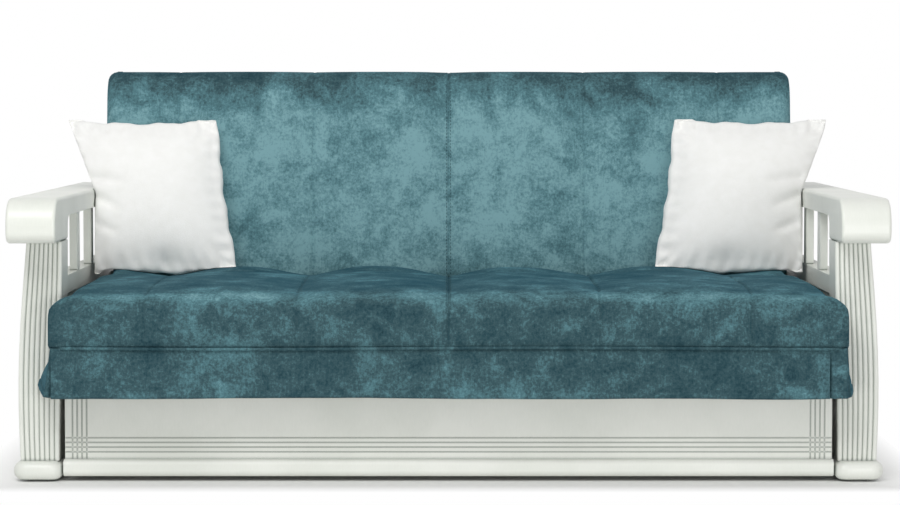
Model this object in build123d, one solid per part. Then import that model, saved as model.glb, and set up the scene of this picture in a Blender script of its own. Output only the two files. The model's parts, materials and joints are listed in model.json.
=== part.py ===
"""Accordion sofa bed with carved wooden arms, a roll-out bedding drawer and two loose cushions.

Millimetres, +Z up, +X to the right as seen from the front, -Y to the front.
The origin is on the floor at the middle of the sofa's width and depth.
The bed has three padded sections. The rear section swings on the arms at its foot, the back
section hangs on its head, and the seat rolls on the floor at the back section's foot, so the
folded back is an upside-down V that flattens as the seat rolls forward.
"""

import os
from math import asin, atan2, cos, degrees, hypot, pi, radians, sin, sqrt

from build123d import *

# Arms
ARM_CLEAR_WIDTH = 1570.0      # between the two arms' inner faces
ARM_WIDTH = 100.0             # armrest, across the sofa
ARM_HEIGHT = 578.0
ARM_BOARD = 40.0              # armrest thickness behind the front post
ARM_NOSE_DROP = 90.0          # height of the rolled front of the armrest
ARM_NOSE_REACH = 98.0         # how far the roll stands in front of the post
ARM_NOSE_RADIUS = 54.0
ARM_KNEE_RADIUS = 26.0
ARM_EDGE_ROUND = 7.0
POST_DEPTH = 96.0
POST_TOP_WIDTH = 72.0
POST_FOOT_WIDTH = 79.0
POST_FOOT_SHIFT = 8.0         # the post's foot stands this much further out than its head
POST_BOW = 9.0                # extra outward swell below the middle of the post
POST_REEDS = 8
POST_LEVELS = 8              # straight lengths that make up the post's bow
REED_DEPTH = 3.2
REAR_POST_DEPTH = 60.0
REAR_POST_WIDTH = 60.0
FOOT_RAIL_WIDTH = 100.0
FOOT_RAIL_HEIGHT = 38.0
FOOT_RAIL_ROUND = 17.0
FOOT_RAIL_REACH = 26.0        # in front of the post
FELT_THICK = 3.0
FELT_MARGIN = 16.0
SIDE_RAIL_HEIGHT = 40.0
SIDE_RAIL_TOP = 412.0
SIDE_RAIL_WIDTH = 40.0
SIDE_PANEL_THICK = 16.0
ARM_SLATS = 3
ARM_SLAT_DEPTH = 42.0
ARM_SLAT_THICK = 17.0

# Rear stretchers that hold the two arms together
STRETCHER_THICK = 25.0
STRETCHER_HEIGHT = 140.0
STRETCHER_BOTTOM = 54.0
STRETCHER_REAR_GAP = 30.0
CROSS_TUBE = 40.0
CROSS_TUBE_BOTTOM = 80.0

# Bed sections
SEAT_DEPTH = 700.0
SECTION_LENGTH = 592.0        # back and rear sections
SECTION_THICK = 160.0         # underside of the frame to the sleeping surface
SEAT_TOP = 412.0
BACK_LEAN = 8.0               # degrees from upright when folded
MATTRESS_SIDE_GAP = 10.0      # between a pad and each arm
MATTRESS_ROUND = 45.0
MATTRESS_SIDE_ROUND = 26.0
MATTRESS_CROWN = 12.0         # how far the pad's faces swell in the middle
SEAM_PITCH = 305.0            # sewn channels either side of the middle seam
SEAM_DEPTH = 5.0
SEAM_WIDTH = 10.0
PAD_NOTCH_INSET = 10.0        # the pads' corners are cut out this far inside the frame's sides
PAD_NOTCH_CLEAR = 4.0         # round the pivot brackets
SECTION_GAP = 18.0            # between the seat and the end of the back section
FOLD_GAP = 3.0                # half of the gap between the two folded sections when flat
FRAME_TUBE = 30.0
TUBE_WALL = 2.0
FRAME_SIDE_INSET = 20.0       # the back's frame, inside each side of its pad
SLAT_WIDTH = 53.0
SLAT_THICK = 8.0
SLAT_PITCH = 84.0
SLAT_CAP_WALL = 2.0
SLAT_CAP_DEPTH = 40.0
PLATE_THICK = 5.0
PLATE_WIDTH = 40.0
PLATE_GAP = 1.0
PIN_RADIUS = 6.0
PIN_CLEARANCE = 0.06
PIN_HEAD_RADIUS = 10.0
PIN_HEAD_THICK = 4.0
PIN_END_GAP = 0.5
BRACKET_LENGTH = 70.0
BRACKET_HEIGHT = 48.0
BOLT_RADIUS = 3.0
BOLT_HOLE_RADIUS = 3.3
BOLT_SPREAD = 22.0
BOLT_HEAD_RADIUS = 6.0
BOLT_HEAD_THICK = 4.0
HEAD_PLATE_LENGTH = 150.0
EYE_RADIUS = 13.0
SEAT_PLATE_LENGTH = 110.0
FOOT_PLATE_LENGTH = 140.0
FRAME_FOOT_SETBACK = 36.0     # the lower end tube stays inside the swept corner of the pad
FRAME_HEAD_SETBACK = 32.0

# Seat skirt
SKIRT_THICK = 6.0
SKIRT_DROP = 98.0
SKIRT_RETURN = 88.0           # how far the skirt runs back along the sides
SKIRT_FLARE = 26.0
PAD_NOSE_DROP = 18.0          # the seat pad's front hangs this far below its underside
PAD_NOSE_DEPTH = 52.0
PAD_SIDE_DRAW = 6.0           # the skirt is sewn on this far inside the pad
SKIRT_FRONT_FLARE = 5.0

# Seat carriage and drawer
CARRIAGE_BOARD = 16.0
CARRIAGE_BOTTOM = 46.0
CARRIAGE_RAIL_HEIGHT = 120.0
CARRIAGE_REAR_SETBACK = 20.0
ROLLER_RADIUS = 20.0
ROLLER_WIDTH = 16.0
ROLLER_CLEAR = 1.0
ROLLER_AXLE_RADIUS = 4.0
ROLLER_INSET = 90.0
FORK_PLATE = 3.0
FORK_LENGTH = 46.0
PANEL_GAP = 4.0               # drawer front to each arm
PANEL_THICK = 18.0
PANEL_TOP_GAP = 5.0           # under the hem of the skirt, so that the drawer clears it
PANEL_FLOOR_GAP = 10.0
PANEL_GROOVES = 4
PANEL_GROOVE_PITCH = 9.6
PANEL_GROOVE_WIDTH = 3.2
PANEL_GROOVE_DEPTH = 2.2
PANEL_GROOVE_EDGE = 14.0      # first upright groove to the panel's end
PANEL_GROOVE_LIFT = 13.0      # lowest level groove above the bead
BEAD_HEIGHT = 35.0
BEAD_REACH = 14.0
BEAD_OVERRUN = 2.0            # the bead is a little longer than the panel
DRAWER_WALL = 12.0
DRAWER_BOTTOM_THICK = 6.0
DRAWER_BOTTOM = 24.0
DRAWER_HEIGHT = 145.0
DRAWER_REAR_GAP = 32.0        # drawer's back to the carriage's rear rail
RUNNER_HEIGHT = 20.0
RUNNER_WIDTH = 14.0
RUNNER_CLEARANCE = 0.5
RUNNER_BOTTOM = 120.0

# Loose cushions
CUSHION_SIZE = 330.0
CUSHION_THICK = 140.0
CUSHION_EDGE = 24.0           # thickness near the seam
CUSHION_WAIST = 15.0          # how far the sides draw in between the corners
CUSHION_ARM_GAP = 173.0       # middle of the cushion to the arm's inner face
CUSHION_SHEAR = 0.17          # the top slumps outwards, towards the arm
CUSHION_LEAN = 20.0           # degrees from upright
CUSHION_SEAT_GAP = 0.4        # above the seat pad
CUSHION_BACK_GAP = 0.6        # in front of the back pad

# Finish and clearances
EDGE_EASE = 1.5               # on every edge of a wooden board
SEAT_CLEAR = 0.3              # soft solids to what carries them
NOSE_SETBACK = 4.0            # seat pad behind the armrest's roll
REAR_MARGIN = 8.0             # rear pad inside the arms' back ends

# Places worked out from the sizes above
ARM_IN = ARM_CLEAR_WIDTH / 2
MATTRESS_WIDTH = ARM_CLEAR_WIDTH - 2 * MATTRESS_SIDE_GAP
CUSHION_X = ARM_IN - CUSHION_ARM_GAP
HALF_THICK = SECTION_THICK / 2
SEAT_UNDER = SEAT_TOP - SECTION_THICK
PIVOT_Z = SEAT_TOP - HALF_THICK
LINK_RUN = SECTION_LENGTH - HALF_THICK
LINK = hypot(LINK_RUN, HALF_THICK)
LINK_LEAN = BACK_LEAN + degrees(atan2(HALF_THICK, LINK_RUN))
PIVOT_SPAN = 2 * LINK * sin(radians(LINK_LEAN))
FOOT_REACH = HALF_THICK * (cos(radians(BACK_LEAN)) + sin(radians(BACK_LEAN)))
SEAT_BACK_FROM_PIVOT = HALF_THICK + SECTION_GAP
FRONT_FROM_PIVOT = SEAT_BACK_FROM_PIVOT + SEAT_DEPTH + NOSE_SETBACK
REAR_FROM_PIVOT = PIVOT_SPAN + FOOT_REACH + REAR_MARGIN
DEPTH = FRONT_FROM_PIVOT + REAR_FROM_PIVOT
FRONT_Y = -DEPTH / 2
REAR_Y = DEPTH / 2
SEAT_PIVOT_Y = FRONT_Y + FRONT_FROM_PIVOT
REAR_PIVOT_Y = SEAT_PIVOT_Y + PIVOT_SPAN
SEAT_FRONT_Y = FRONT_Y + NOSE_SETBACK
SEAT_BACK_Y = SEAT_FRONT_Y + SEAT_DEPTH
POST_Y = FRONT_Y + ARM_NOSE_REACH
POST_BACK_Y = POST_Y + POST_DEPTH
POST_TOP_Z = ARM_HEIGHT - ARM_NOSE_DROP
FOOT_TOP_Z = FELT_THICK + FOOT_RAIL_HEIGHT
REAR_POST_Y = REAR_Y - REAR_POST_DEPTH
BACK_FRAME_HALF = MATTRESS_WIDTH / 2 - FRAME_SIDE_INSET
LINK_FRAME_HALF = BACK_FRAME_HALF + PLATE_THICK + PLATE_GAP
BRACKET_X = LINK_FRAME_HALF + PLATE_THICK + PLATE_GAP
SLAT_LOW = FRAME_TUBE + SLAT_CAP_WALL
PAD_LOW = SLAT_LOW + SLAT_THICK + SLAT_CAP_WALL
PANEL_IN = ARM_IN + POST_FOOT_SHIFT + (SIDE_RAIL_WIDTH - SIDE_PANEL_THICK) / 2
SKIRT_TOP = SEAT_UNDER + PAD_LOW - PAD_NOSE_DROP
PANEL_TOP = SKIRT_TOP - SKIRT_DROP - PANEL_TOP_GAP
BEAD_TOP = PANEL_FLOOR_GAP + BEAD_HEIGHT
CARRIAGE_X = LINK_FRAME_HALF - FRAME_TUBE / 2 - CARRIAGE_BOARD / 2
CARRIAGE_FRONT_Y = POST_Y + PANEL_THICK + PLATE_GAP
CARRIAGE_BACK_Y = SEAT_BACK_Y - CARRIAGE_REAR_SETBACK
ROLLER_X = CARRIAGE_X + CARRIAGE_BOARD / 2
FORK_BOTTOM = ROLLER_RADIUS - 2 * ROLLER_AXLE_RADIUS
DRAWER_HALF = CARRIAGE_X - RUNNER_WIDTH
DRAWER_FRONT_Y = POST_Y + PANEL_THICK
DRAWER_DEPTH = CARRIAGE_BACK_Y - CARRIAGE_BOARD - DRAWER_REAR_GAP - DRAWER_FRONT_Y
PAD_NOTCH_X = BACK_FRAME_HALF - PAD_NOTCH_INSET
PAD_NOTCH_LENGTH = HALF_THICK + hypot(BRACKET_LENGTH, BRACKET_HEIGHT) / 2 + PAD_NOTCH_CLEAR
SIDES = {"left": -1, "right": 1}

parts = {}


def block(x0, x1, y0, y1, z0, z1):
    """A box between two corners, whichever way round the x limits come."""
    low, high = min(x0, x1), max(x0, x1)
    return Pos(low, y0, z0) * Box(high - low, y1 - y0, z1 - z0, align=(Align.MIN,) * 3)


def board(x0, x1, y0, y1, z0, z1):
    """A wooden board or post between two corners, with its edges eased."""
    solid = block(x0, x1, y0, y1, z0, z1)
    return chamfer(solid.edges(), EDGE_EASE)


def rod(radius, x0, x1, y, z):
    """A round bar along X between two x positions."""
    low, high = min(x0, x1), max(x0, x1)
    bar = Cylinder(radius, high - low, align=(Align.CENTER, Align.CENTER, Align.MIN))
    return Pos(low, y, z) * Rot(0, 90, 0) * bar


def mirror_side(shape, side):
    """A piece made for the +X side, moved to the other side where that is asked."""
    return shape if side > 0 else mirror(shape, about=Plane.YZ)


def tube(x0, x1, y0, y1, z0, z1, axis, wall):
    """A square steel tube with open ends; axis names the way that it runs."""
    inset = {name: 0 if name == axis else wall for name in "xyz"}
    low, high = min(x0, x1), max(x0, x1)
    bore = block(low + inset["x"], high - inset["x"], y0 + inset["y"], y1 - inset["y"],
                 z0 + inset["z"], z1 - inset["z"])
    return block(low, high, y0, y1, z0, z1) - bore


def side_profile(points, rounds):
    """A face in the YZ plane through the points, with the corners named in rounds made round."""
    face = Plane.YZ * make_face(Polyline(*points, close=True))
    for index, radius in rounds.items():
        corner = Vector(0, *points[index])
        face = fillet(face.vertices().sort_by_distance(corner)[0], radius)
    return face


# Arms

def armrest():
    """The armrest: a board that rolls over at the front into a deep rounded nose above the post."""
    under = ARM_HEIGHT - ARM_BOARD
    points = [(REAR_Y, ARM_HEIGHT), (FRONT_Y, ARM_HEIGHT), (FRONT_Y, POST_TOP_Z),
              (POST_BACK_Y, POST_TOP_Z), (POST_BACK_Y, under), (REAR_Y, under)]
    nose_foot = ARM_NOSE_DROP - ARM_NOSE_RADIUS - 2 * ARM_EDGE_ROUND
    face = side_profile(points, {1: ARM_NOSE_RADIUS, 2: nose_foot, 4: ARM_KNEE_RADIUS})
    solid = Pos(ARM_IN, 0, 0) * extrude(face, ARM_WIDTH)
    rims = [e for e in solid.edges() if e.center().Z > POST_TOP_Z + 1
            and abs(abs(e.center().X - ARM_IN - ARM_WIDTH / 2) - ARM_WIDTH / 2) < 0.01
            and e.center().Y < REAR_Y - 1 and e.center().Z > under + 1]
    return fillet(rims, ARM_EDGE_ROUND)


def post_edges(share):
    """The front post's inner and outer edge at a share of its height, from 0 at the foot to 1."""
    drop = 1 - share
    ease = drop * drop * (3 - 2 * drop)
    inner = ARM_IN + POST_FOOT_SHIFT * ease
    width = POST_TOP_WIDTH * share + POST_FOOT_WIDTH * drop
    return inner, inner + width + POST_BOW * sin(radians(180 * drop))


def post_section(share):
    """One level of the front post: a row of convex reeds across its front and a square back."""
    inner, outer = post_edges(share)
    height = FOOT_TOP_Z + share * (POST_TOP_Z - FOOT_TOP_Z)
    step = (outer - inner) / POST_REEDS
    valley = POST_Y + REED_DEPTH
    reeds = [ThreePointArc((inner + i * step, valley), (inner + (i + 0.5) * step, POST_Y),
                           (inner + (i + 1) * step, valley)) for i in range(POST_REEDS)]
    back = Polyline((outer, valley), (outer, POST_BACK_Y), (inner, POST_BACK_Y), (inner, valley))
    return Pos(0, 0, height) * make_face(reeds + back.edges())


def front_post():
    """The reeded front post, which bows outwards towards its foot."""
    return loft([post_section(level / POST_LEVELS) for level in range(POST_LEVELS + 1)], ruled=True)


def foot_rail():
    """The rail that the whole arm stands on, with a full round edge."""
    solid = block(ARM_IN, ARM_IN + FOOT_RAIL_WIDTH, POST_Y - FOOT_RAIL_REACH, REAR_Y,
                  FELT_THICK, FOOT_TOP_Z)
    front_corners = [e for e in solid.edges().filter_by(Axis.Z) if e.center().Y < 0]
    solid = fillet(front_corners, FOOT_RAIL_REACH)
    rims = [e for e in solid.edges() if abs(e.center().Z - FELT_THICK - FOOT_RAIL_HEIGHT / 2) > 1
            and e.center().Y < REAR_Y - 1]
    return fillet(rims, FOOT_RAIL_ROUND)


def felt_strip():
    """The felt under the foot rail."""
    return block(ARM_IN + FOOT_RAIL_ROUND + FELT_MARGIN, ARM_IN + FOOT_RAIL_WIDTH
                 - FOOT_RAIL_ROUND - FELT_MARGIN, POST_Y, REAR_Y - FELT_MARGIN, 0, FELT_THICK)


def rear_post():
    """The plain post at the back of the arm."""
    return board(ARM_IN, ARM_IN + REAR_POST_WIDTH, REAR_POST_Y, REAR_Y, FOOT_TOP_Z,
                 ARM_HEIGHT - ARM_BOARD)


def side_rail():
    """The rail that carries the arm's slats."""
    return board(ARM_IN + POST_FOOT_SHIFT, ARM_IN + POST_FOOT_SHIFT + SIDE_RAIL_WIDTH, POST_BACK_Y,
                 REAR_POST_Y, SIDE_RAIL_TOP - SIDE_RAIL_HEIGHT, SIDE_RAIL_TOP)


def bolt_places():
    """The two bolts of a pivot bracket, in front of the pivot and behind it."""
    return REAR_PIVOT_Y - BOLT_SPREAD, REAR_PIVOT_Y + BOLT_SPREAD


def side_panel():
    """The solid panel under the side rail, drilled for the pivot bracket's bolts."""
    solid = board(PANEL_IN, PANEL_IN + SIDE_PANEL_THICK, POST_BACK_Y, REAR_POST_Y, FOOT_TOP_Z,
                  SIDE_RAIL_TOP - SIDE_RAIL_HEIGHT)
    for y in bolt_places():
        solid -= rod(BOLT_HOLE_RADIUS, PANEL_IN, PANEL_IN + SIDE_PANEL_THICK, y, PIVOT_Z)
    return solid


def arm_slats():
    """The upright slats between the side rail and the armrest."""
    run = REAR_POST_Y - POST_BACK_Y
    low = ARM_IN + POST_FOOT_SHIFT
    places = [POST_BACK_Y + run * (i + 1) / (ARM_SLATS + 1) for i in range(ARM_SLATS)]
    return [board(low, low + ARM_SLAT_THICK, y - ARM_SLAT_DEPTH / 2, y + ARM_SLAT_DEPTH / 2,
                  SIDE_RAIL_TOP, ARM_HEIGHT - ARM_BOARD) for y in places]


def pivot_bracket():
    """A stub of steel channel, bolted to the arm's panel, whose inner wall takes the rear pin."""
    y0, y1 = REAR_PIVOT_Y - BRACKET_LENGTH / 2, REAR_PIVOT_Y + BRACKET_LENGTH / 2
    z0, z1 = PIVOT_Z - BRACKET_HEIGHT / 2, PIVOT_Z + BRACKET_HEIGHT / 2
    solid = tube(BRACKET_X, PANEL_IN, y0, y1, z0, z1, "y", PLATE_THICK)
    solid -= rod(PIN_RADIUS + PIN_CLEARANCE, BRACKET_X, BRACKET_X + PLATE_THICK, REAR_PIVOT_Y, PIVOT_Z)
    for y in bolt_places():
        solid -= rod(BOLT_HOLE_RADIUS, PANEL_IN - PLATE_THICK, PANEL_IN, y, PIVOT_Z)
    return solid


def bracket_bolts():
    """The bolts of one bracket: a head inside the channel and a shank through the panel."""
    seat = PANEL_IN - PLATE_THICK
    return [rod(BOLT_HEAD_RADIUS, seat - BOLT_HEAD_THICK, seat, y, PIVOT_Z)
            + rod(BOLT_RADIUS, seat, PANEL_IN + SIDE_PANEL_THICK, y, PIVOT_Z) for y in bolt_places()]


def rear_stretcher():
    """The board that joins the two rear posts."""
    y0 = REAR_Y - STRETCHER_REAR_GAP - STRETCHER_THICK
    return board(-ARM_IN, ARM_IN, y0, y0 + STRETCHER_THICK, STRETCHER_BOTTOM,
                 STRETCHER_BOTTOM + STRETCHER_HEIGHT)


def cross_tube():
    """The steel tube between the two arm panels, behind the carriage."""
    y0 = SEAT_PIVOT_Y - CROSS_TUBE / 2
    return tube(-PANEL_IN, PANEL_IN, y0, y0 + CROSS_TUBE, CROSS_TUBE_BOTTOM,
                CROSS_TUBE_BOTTOM + CROSS_TUBE, "x", TUBE_WALL)


# Padded sections

def pad_face(y0, y1, low, top, front_nose, back_nose):
    """A slice across a pad: round ends, a crowned face and a flat underside between its noses.

    A nose is a depth and a drop: how far the cover wraps round the frame at that end.
    """
    r = MATTRESS_ROUND
    middle = (y0 + y1) / 2
    crown_radius = (y1 - y0) ** 2 / (8 * MATTRESS_CROWN) + MATTRESS_CROWN / 2
    crown_z = top - crown_radius
    side = (y1 - y0) / 2 - r
    corner_z = crown_z + sqrt((crown_radius - r) ** 2 - side ** 2)
    lean = asin(side / (crown_radius - r))
    half_turn = (pi / 2 + lean) / 2
    touch = (side + r * sin(lean), corner_z + r * cos(lean))
    bend = (side + r * sin(half_turn), corner_z + r * cos(half_turn))
    face_arc = ThreePointArc((middle - touch[0], touch[1]), (middle, top), (middle + touch[0], touch[1]))
    back_arc = ThreePointArc((middle + touch[0], touch[1]), (middle + bend[0], bend[1]), (y1, corner_z))
    front_arc = ThreePointArc((y0, corner_z), (middle - bend[0], bend[1]), (middle - touch[0], touch[1]))
    under = [(y1, corner_z), (y1, low - back_nose[1])]
    if back_nose[1]:
        under += [(y1 - back_nose[0], low - back_nose[1]), (y1 - back_nose[0], low)]
    if front_nose[1]:
        under += [(y0 + front_nose[0], low), (y0 + front_nose[0], low - front_nose[1])]
    under += [(y0, low - front_nose[1]), (y0, corner_z)]
    return Plane.YZ * make_face([front_arc, face_arc, back_arc] + Polyline(*under).edges())


def pad(y0, y1, low, top, notches, front_nose=(0, 0), back_nose=(0, 0)):
    """A padded section: crowned, rounded at the sides and drawn in along its sewn channels."""
    half = MATTRESS_WIDTH / 2
    face = pad_face(y0, y1, low, top, front_nose, back_nose)
    bottom = low - max(front_nose[1], back_nose[1])
    solid = extrude(face, half, both=True)
    rims = [e for e in solid.edges() if abs(e.center().X) > half - 1 and e.center().Z > low + 1]
    solid = fillet(rims, MATTRESS_SIDE_ROUND)
    drawn = pad_face(y0 + SEAM_DEPTH, y1 - SEAM_DEPTH, low, top - SEAM_DEPTH, front_nose, back_nose)
    for index in range(-2, 3):
        x = index * SEAM_PITCH
        channel = block(x - SEAM_WIDTH / 2, x + SEAM_WIDTH / 2, y0, y1, bottom, top)
        kept = Pos(x, 0, 0) * extrude(drawn, SEAM_WIDTH / 2, both=True)
        solid -= channel - kept
    for side in SIDES.values():
        for y_low, y_high, z_high in notches:
            solid -= block(side * PAD_NOTCH_X, side * (half + 1), y_low, y_high, bottom - 1, z_high)
    return solid


def pin(x, y, z):
    """A headed pivot pin, welded to the face at x and standing out through the next plate."""
    reach = PLATE_GAP + PLATE_THICK + PIN_END_GAP
    return rod(PIN_RADIUS, x, x + reach, y, z) + rod(PIN_HEAD_RADIUS, x + reach,
                                                    x + reach + PIN_HEAD_THICK, y, z)


def plate(x, outline, hole=None):
    """A flat steel plate standing on the face at x, with an optional bearing hole for a pin."""
    solid = Pos(x, 0, 0) * extrude(Plane.YZ * outline, PLATE_THICK)
    if hole:
        solid -= rod(PIN_RADIUS + PIN_CLEARANCE, x, x + PLATE_THICK, *hole)
    return solid


def foot_outline():
    """The plate that rises from a folding section's frame to the pivot in the middle of its end."""
    y0 = HALF_THICK - PLATE_WIDTH / 2
    bar = Pos(y0 + FOOT_PLATE_LENGTH / 2, FRAME_TUBE / 2) * Rectangle(FOOT_PLATE_LENGTH, FRAME_TUBE)
    upright = Pos(HALF_THICK, HALF_THICK / 2) * Rectangle(PLATE_WIDTH, HALF_THICK)
    return bar + upright + Pos(HALF_THICK, HALF_THICK) * Circle(PLATE_WIDTH / 2)


def head_outline():
    """The plate that carries the top pivot, at the corner of a folding section's underside."""
    run = HEAD_PLATE_LENGTH - FRAME_HEAD_SETBACK
    bar = Pos(SECTION_LENGTH - FRAME_HEAD_SETBACK - run / 2, FRAME_TUBE / 2) * Rectangle(run, FRAME_TUBE)
    tongue = Pos(SECTION_LENGTH - FRAME_HEAD_SETBACK / 2, EYE_RADIUS / 2) \
        * Rectangle(FRAME_HEAD_SETBACK, EYE_RADIUS)
    return bar + tongue + Pos(SECTION_LENGTH, 0) * Circle(EYE_RADIUS)


def frame_tubes(half, y0, y1, z):
    """A section's steel frame: two side tubes, then two end tubes and a spine between them."""
    inner = half - FRAME_TUBE
    top = z + FRAME_TUBE
    sides = [tube(side * inner, side * half, y0, y1, z, top, "y", TUBE_WALL) for side in SIDES.values()]
    ends = [tube(-inner, inner, y, y + FRAME_TUBE, z, top, "x", TUBE_WALL)
            for y in (y0, y1 - FRAME_TUBE)]
    spine = tube(-FRAME_TUBE / 2, FRAME_TUBE / 2, y0 + FRAME_TUBE, y1 - FRAME_TUBE, z, top, "y",
                 TUBE_WALL)
    return sides, ends + [spine]


def slat_rows(y0, y1):
    """The middle of each row of slats between the two ends of a frame."""
    run = y1 - y0 - SLAT_WIDTH - 2 * SLAT_CAP_WALL
    gaps = int(run // SLAT_PITCH)
    return [y0 + SLAT_WIDTH / 2 + SLAT_CAP_WALL + run * i / gaps for i in range(gaps + 1)]


def slats(half, y0, y1, z):
    """Wooden slats in two halves a row, with the plastic caps that hold their ends on the tubes."""
    low = z + FRAME_TUBE + SLAT_CAP_WALL
    wide = SLAT_WIDTH / 2
    boards = []
    caps = []
    for y in slat_rows(y0, y1):
        row = []
        for side in SIDES.values():
            row.append(block(side * SLAT_CAP_WALL, side * (half - 2 * SLAT_CAP_WALL), y - wide,
                             y + wide, low, low + SLAT_THICK))
        boards += row
        spans = [(-SLAT_CAP_DEPTH / 2, SLAT_CAP_DEPTH / 2)]
        spans += [(side * (half - SLAT_CAP_DEPTH), side * (half - SLAT_CAP_WALL))
                  for side in SIDES.values()]
        for x0, x1 in spans:
            cap = block(x0, x1, y - wide - SLAT_CAP_WALL, y + wide + SLAT_CAP_WALL,
                        low - SLAT_CAP_WALL, low + SLAT_THICK + SLAT_CAP_WALL)
            caps.append(cap - row[0] - row[1])
    return boards, caps


def folding_section(half, place):
    """The pieces shared by the back and rear sections, built flat and then put in place."""
    y0, y1 = FRAME_FOOT_SETBACK, SECTION_LENGTH - FRAME_HEAD_SETBACK
    side_tubes, cross_tubes = frame_tubes(half, y0, y1, 0)
    boards, caps = slats(half, y0, y1, 0)
    low = PAD_LOW + SEAT_CLEAR
    head_nose = (FRAME_HEAD_SETBACK - FOLD_GAP - SEAT_CLEAR, low - FOLD_GAP)
    notches = [(-1, PAD_NOTCH_LENGTH, SECTION_THICK + 1), (y1 - 1, SECTION_LENGTH, low)]
    mattress = pad(0, SECTION_LENGTH - FOLD_GAP, low, SECTION_THICK, notches, back_nose=head_nose)
    top_hole = (SECTION_LENGTH, 0) if half > BACK_FRAME_HALF else None
    plates = [plate(half, foot_outline()), plate(half, head_outline(), top_hole)]
    pins = [pin(half + PLATE_THICK, HALF_THICK, HALF_THICK)]
    if half == BACK_FRAME_HALF:
        pins.append(pin(half + PLATE_THICK, SECTION_LENGTH, 0))
    pieces = {"side_tubes": side_tubes, "cross_tubes": cross_tubes, "slats": boards,
              "slat_caps": caps, "mattress": [mattress], "link_plates": both_sides(plates),
              "pins": both_sides(pins)}
    return {name: [place * solid for solid in solids] for name, solids in pieces.items()}


def both_sides(solids):
    """The solids made for the +X side, and their mirror images."""
    return [mirror_side(solid, side) for side in SIDES.values() for solid in solids]


# Seat

def seat_plate():
    """The plate from the seat's side tube to the pivot at the foot of the back section."""
    y1 = SEAT_BACK_Y - CARRIAGE_REAR_SETBACK
    bar = Pos(y1 - SEAT_PLATE_LENGTH / 2, SEAT_UNDER + FRAME_TUBE / 2) \
        * Rectangle(SEAT_PLATE_LENGTH, FRAME_TUBE)
    eye = Pos(SEAT_PIVOT_Y, PIVOT_Z) * Circle(PLATE_WIDTH / 2)
    return plate(LINK_FRAME_HALF, make_hull((bar + eye).edges()), (SEAT_PIVOT_Y, PIVOT_Z))


def skirt_outline(half, front, z):
    """One level of the skirt: a strip across the front that turns back along both sides."""
    back = SEAT_FRONT_Y + SKIRT_RETURN
    t = SKIRT_THICK
    outer = [(-half, back), (-half, front), (half, front), (half, back)]
    inner = [(half - t, back), (half - t, front + t), (-half + t, front + t), (-half + t, back)]
    return Pos(0, 0, z) * make_face(Polyline(*outer, *inner, close=True))


def skirt():
    """The cloth skirt sewn under the front of the seat pad, flaring towards its hem."""
    half = MATTRESS_WIDTH / 2 - PAD_SIDE_DRAW
    levels = [(0.0, 0.0), (0.5, 0.35), (1.0, 1.0)]
    outlines = [skirt_outline(half + share * SKIRT_FLARE, SEAT_FRONT_Y + PAD_SIDE_DRAW
                              - share * SKIRT_FRONT_FLARE, SKIRT_TOP - drop * SKIRT_DROP)
                for drop, share in levels]
    return loft(outlines, ruled=True)


def seat():
    """The seat section: frame, slats, pad, link plates and skirt."""
    y0, y1 = SEAT_FRONT_Y + PAD_NOSE_DEPTH + SEAT_CLEAR, SEAT_BACK_Y - CARRIAGE_REAR_SETBACK
    side_tubes, cross_tubes = frame_tubes(LINK_FRAME_HALF, y0, y1, SEAT_UNDER)
    boards, caps = slats(LINK_FRAME_HALF, y0, y1, SEAT_UNDER)
    notches = [(y1 - SEAT_PLATE_LENGTH - PLATE_GAP, SEAT_BACK_Y + 1, SEAT_TOP + 1)]
    mattress = pad(SEAT_FRONT_Y, SEAT_BACK_Y, SEAT_UNDER + PAD_LOW + SEAT_CLEAR, SEAT_TOP, notches,
                   front_nose=(PAD_NOSE_DEPTH, PAD_NOSE_DROP))
    return {"side_tubes": side_tubes, "cross_tubes": cross_tubes, "slats": boards, "slat_caps": caps,
            "mattress": [mattress], "link_plates": both_sides([seat_plate()]), "skirt": [skirt()]}


# Rolling carriage under the seat

def carriage_board():
    """One side board of the carriage, under the seat's side tube."""
    return board(CARRIAGE_X, CARRIAGE_X + CARRIAGE_BOARD, CARRIAGE_FRONT_Y, CARRIAGE_BACK_Y,
                 CARRIAGE_BOTTOM, SEAT_UNDER)


def carriage_rails():
    """The cross rails between the two side boards: one behind the drawer and one above it."""
    rear_bottom = SEAT_UNDER - CARRIAGE_RAIL_HEIGHT
    rear = board(-CARRIAGE_X, CARRIAGE_X, CARRIAGE_BACK_Y - CARRIAGE_BOARD, CARRIAGE_BACK_Y,
                 rear_bottom, SEAT_UNDER)
    front = board(-CARRIAGE_X, CARRIAGE_X, CARRIAGE_FRONT_Y, CARRIAGE_FRONT_Y + CARRIAGE_BOARD,
                  PANEL_TOP + PANEL_TOP_GAP, SEAT_UNDER)
    return [rear, front]


def runner():
    """The batten on a side board that the drawer slides on."""
    return board(CARRIAGE_X - RUNNER_WIDTH, CARRIAGE_X, CARRIAGE_FRONT_Y,
                 CARRIAGE_FRONT_Y + DRAWER_DEPTH, RUNNER_BOTTOM, RUNNER_BOTTOM + RUNNER_HEIGHT)


def roller_places():
    """The y position of each roller, by name."""
    return {"front": CARRIAGE_FRONT_Y + ROLLER_INSET, "rear": CARRIAGE_BACK_Y - ROLLER_INSET}


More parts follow.
